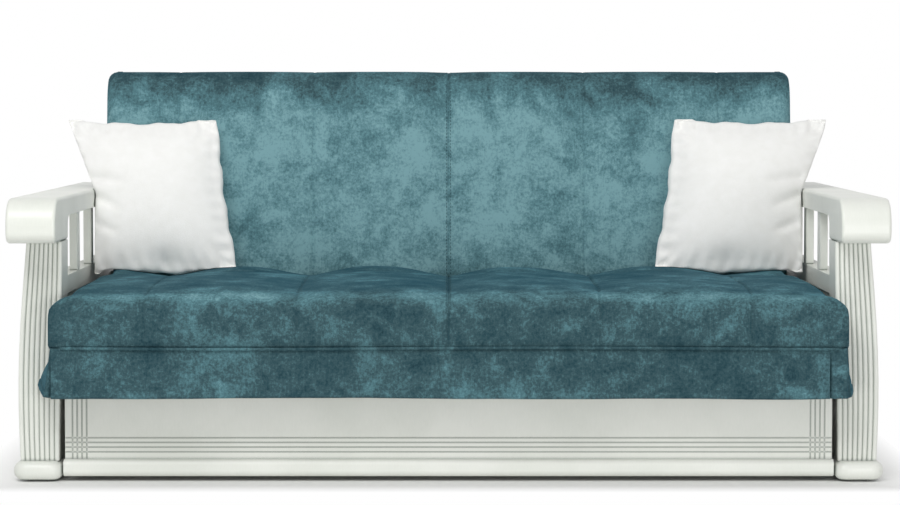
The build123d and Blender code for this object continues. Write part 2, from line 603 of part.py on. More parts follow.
def roller_fork(y):
    """The steel fork under a side board that holds one roller's axle."""
    inner = ROLLER_WIDTH / 2 + ROLLER_CLEAR
    outer = inner + FORK_PLATE
    solid = block(ROLLER_X - outer, ROLLER_X + outer, y - FORK_LENGTH / 2, y + FORK_LENGTH / 2,
                  FORK_BOTTOM, CARRIAGE_BOTTOM)
    solid -= block(ROLLER_X - inner, ROLLER_X + inner, y - FORK_LENGTH / 2, y + FORK_LENGTH / 2,
                   FORK_BOTTOM, CARRIAGE_BOTTOM - FORK_PLATE)
    return solid - rod(ROLLER_AXLE_RADIUS, ROLLER_X - outer, ROLLER_X + outer, y, ROLLER_RADIUS)


def roller_axle(y):
    """The fixed axle of one roller, flush with the outside of its fork."""
    reach = ROLLER_WIDTH / 2 + ROLLER_CLEAR + FORK_PLATE
    return rod(ROLLER_AXLE_RADIUS, ROLLER_X - reach, ROLLER_X + reach, y, ROLLER_RADIUS)


def roller(y):
    """One nylon roller with a running bore and eased rims."""
    wheel = rod(ROLLER_RADIUS, ROLLER_X - ROLLER_WIDTH / 2, ROLLER_X + ROLLER_WIDTH / 2, y, ROLLER_RADIUS)
    wheel = chamfer(wheel.edges().filter_by(GeomType.CIRCLE), FORK_PLATE / 2)
    return wheel - rod(ROLLER_AXLE_RADIUS + PIN_CLEARANCE, ROLLER_X - ROLLER_WIDTH,
                       ROLLER_X + ROLLER_WIDTH, y, ROLLER_RADIUS)


# Bedding drawer

def drawer_front():
    """The drawer's painted front, with grooves along its foot and up both of its ends."""
    half = ARM_IN - PANEL_GAP
    solid = board(-half, half, POST_Y, POST_Y + PANEL_THICK, PANEL_FLOOR_GAP, PANEL_TOP)
    cut_back = POST_Y + PANEL_GROOVE_DEPTH
    for i in range(PANEL_GROOVES):
        z = BEAD_TOP + PANEL_GROOVE_LIFT + i * PANEL_GROOVE_PITCH
        solid -= block(-half, half, POST_Y, cut_back, z, z + PANEL_GROOVE_WIDTH)
        x = half - PANEL_GROOVE_EDGE - i * PANEL_GROOVE_PITCH
        for side in SIDES.values():
            solid -= block(side * x, side * (x - PANEL_GROOVE_WIDTH), POST_Y, cut_back, BEAD_TOP,
                           PANEL_TOP)
    return solid


def drawer_bead():
    """The rounded moulding along the foot of the drawer front."""
    half = ARM_IN - PANEL_GAP + BEAD_OVERRUN
    solid = block(-half, half, POST_Y - BEAD_REACH, POST_Y, PANEL_FLOOR_GAP, BEAD_TOP)
    front_edges = solid.edges().filter_by(Axis.X).group_by(Axis.Y)[0]
    return fillet(front_edges, BEAD_REACH - 2)


def drawer_side():
    """One long wall of the drawer."""
    return board(DRAWER_HALF - DRAWER_WALL, DRAWER_HALF, DRAWER_FRONT_Y, DRAWER_FRONT_Y + DRAWER_DEPTH,
                 DRAWER_BOTTOM, DRAWER_BOTTOM + DRAWER_HEIGHT)


def drawer_back():
    """The drawer's rear wall, between its side walls."""
    inner = DRAWER_HALF - DRAWER_WALL
    y1 = DRAWER_FRONT_Y + DRAWER_DEPTH
    return board(-inner, inner, y1 - DRAWER_WALL, y1, DRAWER_BOTTOM, DRAWER_BOTTOM + DRAWER_HEIGHT)


def drawer_floor():
    """The drawer's floor, between its walls."""
    inner = DRAWER_HALF - DRAWER_WALL
    return board(-inner, inner, DRAWER_FRONT_Y, DRAWER_FRONT_Y + DRAWER_DEPTH - DRAWER_WALL,
                 DRAWER_BOTTOM, DRAWER_BOTTOM + DRAWER_BOTTOM_THICK)


def drawer_batten():
    """The batten on a drawer wall that rides on the carriage's runner."""
    z0 = RUNNER_BOTTOM + RUNNER_HEIGHT + RUNNER_CLEARANCE
    return board(DRAWER_HALF, DRAWER_HALF + RUNNER_WIDTH - RUNNER_CLEARANCE, DRAWER_FRONT_Y
                 + CARRIAGE_BOARD, DRAWER_FRONT_Y + DRAWER_DEPTH, z0, z0 + RUNNER_HEIGHT)


# Loose cushions

def cushion_outline(size, z):
    """One level of a cushion: four pointed corners with the sides drawn in between them."""
    half = size / 2
    corners = [(-half, -half), (half, -half), (half, half), (-half, half)]
    middles = [(0, -half + CUSHION_WAIST), (half - CUSHION_WAIST, 0), (0, half - CUSHION_WAIST),
               (-half + CUSHION_WAIST, 0)]
    leaned = [[(x + CUSHION_SHEAR * y, y) for x, y in row] for row in (corners, middles)]
    sides = [ThreePointArc(leaned[0][i], leaned[1][i], leaned[0][(i + 1) % 4]) for i in range(4)]
    return Pos(0, 0, z) * make_face(sides)


def settle(shape, neighbour, direction, gap):
    """Moves a shape towards its neighbour until only the gap is left between them."""
    for _ in range(8):
        spare = shape.distance_to(neighbour) - gap
        if spare > 0.01:
            shape = Pos(*(direction * spare)) * shape
    return shape


def cushion(seat_pad, back_pad):
    """The right-hand loose cushion, standing on the seat and leaning on the back."""
    levels = [(0.5, 0.30), (0.46, 0.52), (0.36, 0.76), (0.22, 0.93), (CUSHION_EDGE / CUSHION_THICK / 2, 1.0)]
    levels += [(-share, size) for share, size in reversed(levels)]
    solid = loft([cushion_outline(CUSHION_SIZE * size, CUSHION_THICK * share)
                  for share, size in levels], ruled=True)
    stand_y = SEAT_PIVOT_Y - HALF_THICK - CUSHION_SIZE
    place = Pos(CUSHION_X, stand_y, SEAT_TOP + CUSHION_SIZE) * Rot(90 - CUSHION_LEAN, 0, 0)
    low = settle(place * solid, seat_pad, Vector(0, 0, -1), CUSHION_SEAT_GAP)
    return settle(low, back_pad, Vector(0, 1, 0), CUSHION_BACK_GAP)


# Everything in its place

def folded(pivot_y, turn):
    """Where a section that was built flat stands when it is folded up about its foot."""
    return Pos(0, pivot_y, PIVOT_Z) * Rot(0, 0, turn) * Rot(90 - BACK_LEAN, 0, 0) \
        * Pos(0, -HALF_THICK, -HALF_THICK)


def add(name, solids):
    """Files one node, which may hold several solids."""
    parts[name] = solids[0] if len(solids) == 1 else Compound(children=list(solids), label=name)


def add_both(name, solid):
    """Files a left and a right node from the one made for the right."""
    for side, sign in SIDES.items():
        add(f"{name}_{side}", [mirror_side(item, sign) for item in solid])


for arm_name, arm_piece in {"armrest": [armrest()], "front_post": [front_post()],
                            "rear_post": [rear_post()], "foot_rail": [foot_rail()],
                            "felt_strip": [felt_strip()], "side_rail": [side_rail()],
                            "side_panel": [side_panel()], "arm_slats": arm_slats(),
                            "pivot_bracket": [pivot_bracket()]}.items():
    add_both(arm_name, arm_piece)
add("bracket_bolts", both_sides(bracket_bolts()))
add("rear_stretcher", [rear_stretcher()])
add("cross_tube", [cross_tube()])

sections = {"back": folding_section(BACK_FRAME_HALF, folded(SEAT_PIVOT_Y, 0)),
            "rear": folding_section(LINK_FRAME_HALF, folded(REAR_PIVOT_Y, 180)),
            "seat": seat()}
for section_name, pieces in sections.items():
    for piece_name, solids in pieces.items():
        add(f"{section_name}_{piece_name}", solids)

add("carriage_boards", both_sides([carriage_board()]))
add("carriage_rails", carriage_rails())
add("drawer_runners", both_sides([runner()]))
add("roller_forks", both_sides([roller_fork(y) for y in roller_places().values()]))
add("roller_axles", both_sides([roller_axle(y) for y in roller_places().values()]))
for place_name, roller_y in roller_places().items():
    add_both(f"roller_{place_name}", [roller(roller_y)])

add("drawer_front", [drawer_front()])
add("drawer_bead", [drawer_bead()])
add("drawer_sides", both_sides([drawer_side()]))
add("drawer_back", [drawer_back()])
add("drawer_floor", [drawer_floor()])
add("drawer_battens", both_sides([drawer_batten()]))
add_both("cushion", [cushion(sections["seat"]["mattress"][0], sections["back"]["mattress"][0])])

os.makedirs("parts", exist_ok=True)
for node, shape in parts.items():
    export_step(shape, f"parts/{node}.step")
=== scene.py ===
"""The looks of the sofa bed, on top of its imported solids.

Metres, +Z up, -Y to the front. The padded sections, the skirt, the piping, the stitching and the
loose cushions are made here; wood, steel and plastic are the solids themselves, with finishes.
"""

import json

import bmesh
import bpy
import numpy as np
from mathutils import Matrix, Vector


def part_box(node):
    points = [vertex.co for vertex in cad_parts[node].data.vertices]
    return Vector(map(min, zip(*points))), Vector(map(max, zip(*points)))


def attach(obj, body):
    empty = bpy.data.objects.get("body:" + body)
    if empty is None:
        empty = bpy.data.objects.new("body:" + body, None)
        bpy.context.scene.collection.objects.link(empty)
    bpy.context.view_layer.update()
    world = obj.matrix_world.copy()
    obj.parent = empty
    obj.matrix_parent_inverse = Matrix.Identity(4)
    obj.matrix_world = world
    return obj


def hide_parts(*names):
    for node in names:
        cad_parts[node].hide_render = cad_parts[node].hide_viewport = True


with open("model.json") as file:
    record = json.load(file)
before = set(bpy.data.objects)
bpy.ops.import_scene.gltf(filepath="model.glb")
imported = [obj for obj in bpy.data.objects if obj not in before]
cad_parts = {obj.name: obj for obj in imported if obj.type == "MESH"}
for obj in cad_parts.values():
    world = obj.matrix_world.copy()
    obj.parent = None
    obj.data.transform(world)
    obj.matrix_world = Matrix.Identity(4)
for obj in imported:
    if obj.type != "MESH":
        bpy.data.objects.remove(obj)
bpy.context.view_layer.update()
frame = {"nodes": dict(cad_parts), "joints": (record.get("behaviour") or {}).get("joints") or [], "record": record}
scene = bpy.context.scene
scene.view_settings.view_transform = "Standard"
joints = {joint["name"]: joint for joint in frame["joints"]}

# Sizes that the soft goods share with the solids
HALF_THICK = 0.080
LEAN = np.radians(82.0)
SECTION_LENGTH = 0.589
SECTION_THICK = 0.160
PAD_LOW = 0.0423              # underside of a pad above the underside of its frame
CROWN = 0.012
SEAM_PITCH = 0.305
SEAMS = tuple(SEAM_PITCH * number for number in (-2, -1, 0, 1, 2))
SPREAD = 0.030                # the seat's front corners past its width between the arms
SEAT_LOW, SEAT_HIGH = (np.array(corner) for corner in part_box("seat_mattress"))
HALF_WIDTH = float(SEAT_HIGH[0])
SEAT_DEPTH = float(SEAT_HIGH[1] - SEAT_LOW[1])
SEAT_PIVOT = np.array(joints["seat_fold"]["pos_m"])
REAR_PIVOT = np.array(joints["rear_fold"]["pos_m"])
POST_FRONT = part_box("front_post_right")[0][1]
SKIRT_TOP = float(SEAT_LOW[2])
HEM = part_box("seat_skirt")[0][2]


# Finishes

def linear(code):
    """A hex sRGB colour as linear RGBA, by the sRGB curve."""
    channels = np.array([int(code[i:i + 2], 16) for i in (1, 3, 5)]) / 255
    values = np.where(channels <= 0.04045, channels / 12.92, ((channels + 0.055) / 1.055) ** 2.4)
    return (*values.tolist(), 1.0)


def put(tree, kind, settings=(), wires=()):
    """Adds one node: settings go to its sockets, its ramp or itself, wires are outputs to its sockets."""
    node = tree.nodes.new("ShaderNode" + kind)
    for name, value in dict(settings).items():
        if name == "stops":
            marks = node.color_ramp.elements
            marks[0].position, marks[0].color = value[0][0], linear(value[0][1])
            marks[1].position, marks[1].color = value[-1][0], linear(value[-1][1])
            for place, code in value[1:-1]:
                marks.new(place).color = linear(code)
        elif isinstance(name, int) or name in node.inputs:
            node.inputs[name].default_value = value
        else:
            setattr(node, name, value)
    for name, output in dict(wires).items():
        tree.links.new(output, node.inputs[name])
    return node.outputs


def blank(name, sockets):
    """A new material with its constant values on the shader's own sockets, and its object coordinates."""
    material = bpy.data.materials.new(name)
    material.use_nodes = True
    tree = material.node_tree
    shader = tree.nodes["Principled BSDF"].inputs
    for socket, value in sockets.items():
        shader[socket].default_value = value
    return material, tree, shader, put(tree, "TexCoord")["Object"]


def velvet():
    """Polyester furnishing velvet, woven, cut and crushed in a drum.

    The short pile lies every way, so it looks clouded, with darker bruises and a suede grain.
    Each pad's value adds painted light and shade: paler where light falls, darker where shade does.
    """
    material, tree, shader, place = blank("crushed_velvet", {
        "Roughness": 0.9, "Specular IOR Level": 0.05, "Sheen Weight": 0.24, "Sheen Roughness": 0.35,
        "Sheen Tint": linear("#4CA6C8")})
    # Clouds 160 mm across, bruises 48 mm, drum streaks 3 by 20 mm. The suede grain is about 1 mm; it is
    # drawn at 6 mm so that it shows.
    clouds = put(tree, "TexNoise", {"Scale": 1000 / 160, "Detail": 5.0, "Roughness": 0.62, "Distortion": 0.5},
                 {"Vector": place})["Fac"]
    bruises = put(tree, "TexNoise", {"Scale": 1000 / 48, "Detail": 6.0, "Roughness": 0.66, "Distortion": 0.7},
                  {"Vector": place})["Fac"]
    along = put(tree, "Mapping", {"Scale": (1 / 0.003, 1 / 0.020, 1 / 0.020)}, {"Vector": place})["Vector"]
    streaks = put(tree, "TexNoise", {"Scale": 1.0, "Detail": 3.0, "Roughness": 0.6}, {"Vector": along})["Fac"]
    grain = put(tree, "TexNoise", {"Scale": 1000 / 6, "Detail": 4.0, "Roughness": 0.75},
                {"Vector": place})["Fac"]
    # Painted light and shade from each pad's value, with some random tone
    nap = put(tree, "Attribute", {"attribute_name": "nap"})["Fac"]
    tone = put(tree, "Math", {"operation": "MULTIPLY", 1: 0.80}, {0: clouds})["Value"]
    for layer, share in ((bruises, 0.82), (streaks, 0.20), (grain, 0.84), (nap, 0.41)):
        tone = put(tree, "Math", {"operation": "MULTIPLY_ADD", 1: share}, {0: layer, 2: tone})["Value"]
    spread = put(tree, "MapRange", {"From Min": 0.97, "From Max": 1.90}, {"Value": tone})["Result"]
    stops = ((0.0, "#1F363E"), (0.20, "#2C4850"), (0.39, "#3D575D"), (0.66, "#577F87"), (0.95, "#7EA7AE"))
    tree.links.new(put(tree, "ValToRGB", {"stops": stops}, {"Fac": spread})["Color"], shader["Base Color"])
    height = put(tree, "Bump", {"Strength": 0.45, "Distance": 0.0014}, {"Height": bruises})["Normal"]
    height = put(tree, "Bump", {"Strength": 0.5, "Distance": 0.0006},
                 {"Height": grain, "Normal": height})["Normal"]
    tree.links.new(height, shader["Normal"])
    return material


def plush():
    """White polyester fleece, knitted and brushed up: a soft uneven nap with a fine fuzz and no gloss."""
    material, tree, shader, place = blank("brushed_fleece", {
        "Roughness": 0.95, "Specular IOR Level": 0.15, "Sheen Weight": 0.2, "Sheen Roughness": 0.6})
    # Tufts of nap 26 mm across. The fuzz is 0.2 mm, drawn at 2.6 mm so that it shows.
    nap = put(tree, "TexNoise", {"Scale": 1000 / 26, "Detail": 5.0, "Roughness": 0.6},
              {"Vector": place})["Fac"]
    fuzz = put(tree, "TexNoise", {"Scale": 1000 / 2.6, "Detail": 3.0, "Roughness": 0.7},
               {"Vector": place})["Fac"]
    stops = ((0.3, "#F6F6F3"), (0.7, "#FBFBF9"))
    tree.links.new(put(tree, "ValToRGB", {"stops": stops}, {"Fac": nap})["Color"], shader["Base Color"])
    height = put(tree, "Bump", {"Strength": 0.2, "Distance": 0.002}, {"Height": nap})["Normal"]
    height = put(tree, "Bump", {"Strength": 0.6, "Distance": 0.0007},
                 {"Height": fuzz, "Normal": height})["Normal"]
    tree.links.new(height, shader["Normal"])
    return material


def painted_wood():
    """Beech and fibreboard, machined and sprayed off-white: a satin film with faint grain under it."""
    material, tree, shader, place = blank("sprayed_wood", {"Roughness": 0.4, "Coat Weight": 0.2,
                                                           "Coat Roughness": 0.25})
    # Tone drifts over 150 mm; grain lines are 3 mm wide and 40 mm long; spray texture 1.5 mm.
    drift = put(tree, "TexNoise", {"Scale": 1000 / 150, "Detail": 3.0}, {"Vector": place})["Fac"]
    along = put(tree, "Mapping", {"Scale": (1 / 0.003, 1 / 0.040, 1 / 0.012)}, {"Vector": place})["Vector"]
    grain = put(tree, "TexNoise", {"Scale": 1.0, "Detail": 4.0, "Roughness": 0.6}, {"Vector": along})["Fac"]
    spray = put(tree, "TexNoise", {"Scale": 1000 / 1.5, "Detail": 2.0}, {"Vector": place})["Fac"]
    tone = put(tree, "Math", {"operation": "MULTIPLY_ADD", 1: 0.3}, {0: grain, 2: drift})["Value"]
    base = put(tree, "ValToRGB", {"stops": ((0.45, "#E0E3DB"), (0.85, "#EAECE5"))}, {"Fac": tone})["Color"]
    # Painted shade: within 7 mm of an inside corner the colour darkens to grey, so grooves and joints read as grey
    # lines.
    open_air = put(tree, "AmbientOcclusion", {"Distance": 0.007, "samples": 6})["AO"]
    groove_shade = put(tree, "MapRange", {"From Min": 0.45, "From Max": 0.92}, {"Value": open_air})["Result"]
    # A2A9A1 is the grey of the painted shade
    tree.links.new(put(tree, "MixRGB", {"Color1": linear("#A2A9A1")}, {"Fac": groove_shade, "Color2": base})["Color"],
                   shader["Base Color"])
    tree.links.new(put(tree, "MapRange", {"To Min": 0.34, "To Max": 0.48}, {"Value": grain})["Result"],
                   shader["Roughness"])
    height = put(tree, "Bump", {"Strength": 0.3, "Distance": 0.0002}, {"Height": grain})["Normal"]
    height = put(tree, "Bump", {"Strength": 0.25, "Distance": 0.0001},
                 {"Height": spray, "Normal": height})["Normal"]
    tree.links.new(height, shader["Normal"])
    return material


def coated_board():
    """Chipboard with a white melamine skin, pressed: an even pale face with a faint speckle."""
    material, tree, shader, place = blank("melamine_board", {"Roughness": 0.5})
    # The pressed texture is 4 mm across.
    speck = put(tree, "TexNoise", {"Scale": 1000 / 4, "Detail": 3.0, "Roughness": 0.6},
                {"Vector": place})["Fac"]
    stops = ((0.3, "#D3D2CB"), (0.7, "#E2E1DB"))
    tree.links.new(put(tree, "ValToRGB", {"stops": stops}, {"Fac": speck})["Color"], shader["Base Color"])
    tree.links.new(put(tree, "Bump", {"Strength": 0.4, "Distance": 0.0002}, {"Height": speck})["Normal"],
                   shader["Normal"])
    return material


def birch():
    """Moulded birch plywood, lacquered: pale wavy figure along each slat, with dark fine pores."""
    material, tree, shader, place = blank("lacquered_birch", {"Roughness": 0.42, "Coat Weight": 0.3,
                                                              "Coat Roughness": 0.2})
    # Figure 22 mm wide and 300 mm long; pores 4 mm apart and 80 mm long.
    wide = put(tree, "Mapping", {"Scale": (1 / 0.300, 1 / 0.022, 1 / 0.022)}, {"Vector": place})["Vector"]
    figure = put(tree, "TexNoise", {"Scale": 1.0, "Detail": 5.0, "Roughness": 0.6, "Distortion": 0.8},
                 {"Vector": wide})["Fac"]
    fine = put(tree, "Mapping", {"Scale": (1 / 0.080, 1 / 0.004, 1 / 0.004)}, {"Vector": place})["Vector"]
    pores = put(tree, "TexNoise", {"Scale": 1.0, "Detail": 3.0, "Roughness": 0.6}, {"Vector": fine})["Fac"]
    base = put(tree, "ValToRGB", {"stops": ((0.3, "#B98F5C"), (0.5, "#D2AE7C"), (0.7, "#E2C698"))},
               {"Fac": figure})["Color"]
    dark = put(tree, "ValToRGB", {"stops": ((0.3, "#B0A08A"), (0.6, "#FFFFFF"))}, {"Fac": pores})["Color"]
    mixed = put(tree, "MixRGB", {"blend_type": "MULTIPLY", "Fac": 0.35},
                {"Color1": base, "Color2": dark})["Color"]
    tree.links.new(mixed, shader["Base Color"])
    tree.links.new(put(tree, "Bump", {"Strength": 0.5, "Distance": 0.0002}, {"Height": pores})["Normal"],
                   shader["Normal"])
    return material


def speckled(name, dark, light, size_mm, relief_mm, sockets):
    """A finish whose tone and relief follow one fine noise between a dark and a light colour."""
    material, tree, shader, place = blank(name, sockets)
    speck = put(tree, "TexNoise", {"Scale": 1000 / size_mm, "Detail": 3.0, "Roughness": 0.6},
                {"Vector": place})["Fac"]
    tree.links.new(put(tree, "ValToRGB", {"stops": ((0.3, dark), (0.7, light))}, {"Fac": speck})["Color"],
                   shader["Base Color"])
    relief = put(tree, "Bump", {"Strength": 0.6, "Distance": relief_mm / 1000}, {"Height": speck})["Normal"]
    tree.links.new(relief, shader["Normal"])
    return material


FINISHES = {
    "teal_velvet": velvet(),
    "white_plush": plush(),
    "white_wood": painted_wood(),
    "raw_board": coated_board(),
    "birch": birch(),
    # Zinc-plated steel, barrel finished: a bright grey with a cloudy spangle 6 mm across
    "bright_steel": speckled("zinc_plate", "#9A9DA0", "#C2C4C6", 6, 0.05, {"Metallic": 1.0,
                                                                           "Roughness": 0.32}),
    # Powder-coated steel tube: a dull grey with 1.5 mm orange peel
    "grey_steel": speckled("powder_coat", "#44474A", "#55585B", 1.5, 0.08, {"Roughness": 0.48}),
    # Moulded polypropylene: near black with a 1 mm spark-eroded texture
    "black_plastic": speckled("moulded_plastic", "#17181A", "#232427", 1, 0.08, {"Roughness": 0.5}),
    # Pressed wool felt: fibres drawn at 2.5 mm so that they show
    "grey_felt": speckled("pressed_felt", "#5B5B59", "#7E7E7B", 2.5, 0.6, {"Roughness": 0.95,
                                                                           "Sheen Weight": 0.3}),
}
for subpart in frame["record"]["subparts"]:
    solid = frame["nodes"][subpart["node"]].data
    solid.materials.clear()
    solid.materials.append(FINISHES[subpart["material_slot"]])


# Mesh helpers

def bell(distance, width):
    """A smooth bump: e to the minus the square of distance over width."""
    return np.exp(-(distance / width) ** 2)


def ease(value):
    """A smooth step: 3t^2 - 2t^3 with t clipped to 0..1."""
    t = np.clip(value, 0, 1)
    return t * t * (3 - 2 * t)


def make_piece(name, points, faces, slot, body, merge=False):
    """A smooth-shaded mesh piece at the origin, riding on a body, with its slot's finish; merge joins
    doubles."""
    mesh = bpy.data.meshes.new(name)
    mesh.from_pydata(points.reshape(-1, 3).tolist(), [], faces)
    mesh.materials.append(FINISHES[slot])
    piece = bpy.data.objects.new(name, mesh)
    scene.collection.objects.link(piece)
    work = bmesh.new()
    work.from_mesh(mesh)
    if merge:
        bmesh.ops.remove_doubles(work, verts=work.verts, dist=1e-5)
    bmesh.ops.recalc_face_normals(work, faces=work.faces)
    work.to_mesh(mesh)
    work.free()
    mesh.shade_smooth()
    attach(piece, body)
    return piece


def grid_faces(rows, columns, closed):
    """The quads of a rows by columns grid: each joins a point to its neighbours; closed joins the last column
    to the first."""
    i = np.arange(rows - 1)[:, None]
    j = np.arange(columns if closed else columns - 1)[None, :]
    k = (j + 1) % columns
    corners = np.broadcast_arrays(i * columns + j, i * columns + k,
                                  (i + 1) * columns + k, (i + 1) * columns + j)
    return np.stack(corners, axis=-1).reshape(-1, 4).tolist()


def capped_faces(rows, columns):
    """The quads of a tube of rows rings, with a flat face on each end."""
    last = (rows - 1) * columns
    return grid_faces(rows, columns, True) + [list(range(columns)), list(range(last, last + columns))]


def positions(mesh):
    """The mesh's points as an array."""
    flat = np.empty(len(mesh.vertices) * 3)
    mesh.vertices.foreach_get("co", flat)
    return flat.reshape(-1, 3)


def move_to(piece, points):
    """Puts the mesh's points at new places."""
    piece.data.vertices.foreach_set("co", np.ascontiguousarray(points).ravel())
    piece.data.update()


def swell(piece, pinned, pressure, frames, cap, stiffness, bend):
    """Cloth under air pressure, without gravity, for a number of frames; pinned points stay, and no point
    goes further than cap."""
    start = positions(piece.data)
    group = piece.vertex_groups.new(name="sewn")
    group.add(np.flatnonzero(pinned).tolist(), 1.0, "REPLACE")
    cloth = piece.modifiers.new("cloth", "CLOTH")
    cloth.settings.vertex_group_mass = "sewn"
    cloth.settings.quality = 6
    cloth.settings.mass = 0.25
    cloth.settings.tension_stiffness = stiffness
    cloth.settings.compression_stiffness = stiffness
    cloth.settings.shear_stiffness = stiffness / 2
    cloth.settings.bending_stiffness = bend
    cloth.settings.air_damping = 3.0
    cloth.settings.use_pressure = True
    cloth.settings.uniform_pressure_force = pressure
    cloth.settings.effector_weights.gravity = 0.0
    cloth.collision_settings.use_collision = False
    cloth.point_cache.frame_end = frames
    for number in range(1, frames + 1):
        scene.frame_set(number)
    shown = piece.evaluated_get(bpy.context.evaluated_depsgraph_get())
    moved = positions(shown.data) - start
    piece.modifiers.remove(cloth)
    piece.vertex_groups.remove(group)
    scene.frame_set(1)
    travel = np.linalg.norm(moved, axis=1, keepdims=True)
    move_to(piece, start + moved * np.minimum(1.0, cap / np.maximum(travel, 1e-9)))


def rounded_outline(corners, count):
    """A closed outline through (a, b, radius) corners: a parabola across each corner, straight runs between,
    cut into count equal steps."""
    here = np.array(corners)[:, :2]
    radius = np.array(corners)[:, 2:]
    back, ahead = np.roll(here, 1, axis=0) - here, np.roll(here, -1, axis=0) - here
    start = here + back / np.linalg.norm(back, axis=1, keepdims=True) * radius
    end = here + ahead / np.linalg.norm(ahead, axis=1, keepdims=True) * radius
    t = np.linspace(0, 1, 9)[None, :, None]
    path = (1 - t) ** 2 * start[:, None] + 2 * t * (1 - t) * here[:, None] + t ** 2 * end[:, None]
    path = path.reshape(-1, 2)
    path = np.concatenate([path, path[:1]])
    run = np.concatenate([[0], np.cumsum(np.linalg.norm(np.diff(path, axis=0), axis=1))])
    places = np.linspace(0, run[-1], count, endpoint=False)
    return np.stack([np.interp(places, run, path[:, k]) for k in (0, 1)], axis=1)


# Padded sections

STITCH_GAP = 0.0045           # each row of topstitching to the middle seam
END_ROUND = 0.022             # the length over which a pad's ends are drawn in
PLATE_ROOM = 0.031            # what a pad's ends leave free beside the hinge plates
FULL_HALF = 0.70              # half the width over which a pad keeps its slices where they are
SEWN_HALF = 0.005             # how far either side of a seam the cover is held
ENDS_FROM = 0.735             # where a pad's ends begin, which are held as well
SEAM_SHADE_WIDTH = 0.0024          # the width of the painted shade along a seam


def pad_slices():
    """Where the slices across a pad are: 17 mm apart, closer at the seams and at both ends."""
    near = np.array([-16, -10, -6.5, -4.5, -2.6, -1.2, 0, 1.2, 2.6, 4.5, 6.5, 10, 16]) / 1000
    ends = HALF_WIDTH - np.array([0, 1.5, 4, 8, 13, 20]) / 1000
    coarse = np.linspace(-HALF_WIDTH, HALF_WIDTH, 91)
    fine = np.concatenate([(np.array(SEAMS)[:, None] + near).ravel(), ends, -ends])
    coarse = coarse[np.abs(coarse[:, None] - fine).min(axis=1) > 0.004]
    return np.sort(np.round(np.concatenate([coarse, fine]), 5))


def seam_pull(x):
    """How far the seams draw the cover in: for each seam a sharp bell in a broad one, deepest in the
    middle."""
    away = x[..., None] - np.array(SEAMS)
    broad = np.where(np.array(SEAMS) == 0, 0.0040, 0.0014)
    return (0.0026 * bell(away, 0.003) + broad * bell(away, 0.040)).sum(axis=-1)


def pad_surface(length, outline, top, crown, notch, dents):
    """A pad in its own flat frame, slices by outline points.

    Each slice is the outline; its face is raised by a crown and the dents, lowered by the seams, and
    drawn in over END_ROUND at each end on a quarter circle. Where notch is 0 the pad's ends stop
    short of the hinge plates.
    """
    x = pad_slices()[:, None]
    a, b = outline[None, :, 0], outline[None, :, 1]
    low = outline[:, 1].min()
    share = np.clip((b - low) / (top - low), 0, 1)
    face = ease((share - 0.70) / 0.27)
    reach = np.clip((np.abs(x) - HALF_WIDTH + END_ROUND) / END_ROUND, 0, 1)
    inset = END_ROUND * (1 - np.sqrt(1 - reach ** 2))
    middle = 1 - np.abs(2 * a / length - 1) ** 2.5
    pull = seam_pull(x) * (1 - reach)
    uneven = 0.0011 * (np.sin(9.1 * x + 5.0 * a) + np.sin(23.0 * x - 11.0 * a + 1.3))
    height = b + face * (crown * middle * (1 - reach ** 2) + uneven + dents(x, a) - pull) - inset * share
    along = length / 2 + (a - length / 2) * (1 - 1.6 * inset / length)
    along = along + np.where(a < length / 2, 1, -0.4) * pull * (1 - face) * (share > 0.12)
    limit = HALF_WIDTH - PLATE_ROOM * (1 - notch(a))
    beyond = np.clip(np.abs(x) - FULL_HALF, 0, None) * (limit - FULL_HALF) / (HALF_WIDTH - FULL_HALF)
    across = np.sign(x) * (np.minimum(np.abs(x), FULL_HALF) + beyond)
    return np.stack(np.broadcast_arrays(across, along, height), axis=2), face


def seam_shade(x):
    """Painted shade along the seams: a narrow bell about each, most about the middle one."""
    every = bell(x[..., None] - np.array(SEAMS), SEAM_SHADE_WIDTH).sum(axis=-1)
    return 0.26 * bell(x, SEAM_SHADE_WIDTH) + 0.08 * every


def brushed(x, y):
    """Sum over 28 waves of sin(k . (x, y) + phase), scaled to a spread of 1; k has a drawn direction and a
    length of 2 pi / w, with w drawn from 55 to 240 mm, so the waves never fall into a regular pattern."""
    draw = np.random.default_rng(12)
    count = 28
    heading, phase = draw.uniform(0, np.pi, count), draw.uniform(0, 2 * np.pi, count)
    pace = 2 * np.pi / np.exp(draw.uniform(np.log(0.055), np.log(0.240), count))
    waves = np.sin(x[..., None] * pace * np.cos(heading) + y[..., None] * pace * np.sin(heading) + phase)
    return waves.sum(axis=-1) * np.sqrt(2 / count)


def pad_sewn(surface, low, top):
    """True where the cover can't move: the lower third, the two ends, and SEWN_HALF either side of a seam."""
    x, b = surface[:, :, 0], surface[:, :, 2]
    seam = (np.abs(x[..., None] - np.array(SEAMS)) < SEWN_HALF).any(axis=-1)
    return ((b < low + 0.35 * (top - low)) | (np.abs(x) > ENDS_FROM) | seam).ravel()


def section_dents(x, a):
    """A back section's face: dents 13 mm deep at the foot of the three middle seams, with 6 mm swells
    between."""
    foot = bell(a - 0.085, 0.075)
    at_seam = bell(x[..., None] - np.array(SEAMS[1:4]), 0.055).sum(axis=-1)
    return foot * (0.006 * np.sin(np.pi * x / SEAM_PITCH) ** 2 - 0.013 * at_seam)


def seat_dents(x, a):
    """The seat's face: along its rear edge it rises 12 mm between the seams and dips 6 mm at each, as a
    power of a cosine, and it droops 8 mm towards its front edge and 6 mm towards its ends."""
    rear = ease((a - SEAT_DEPTH + 0.20) / 0.14)
    droop = 0.008 * ease((0.22 - a) / 0.20) + 0.006 * ease((np.abs(x) - 0.58) / 0.18)
    return rear * (0.012 - 0.018 * np.abs(np.cos(np.pi * x / SEAM_PITCH)) ** 3) - droop


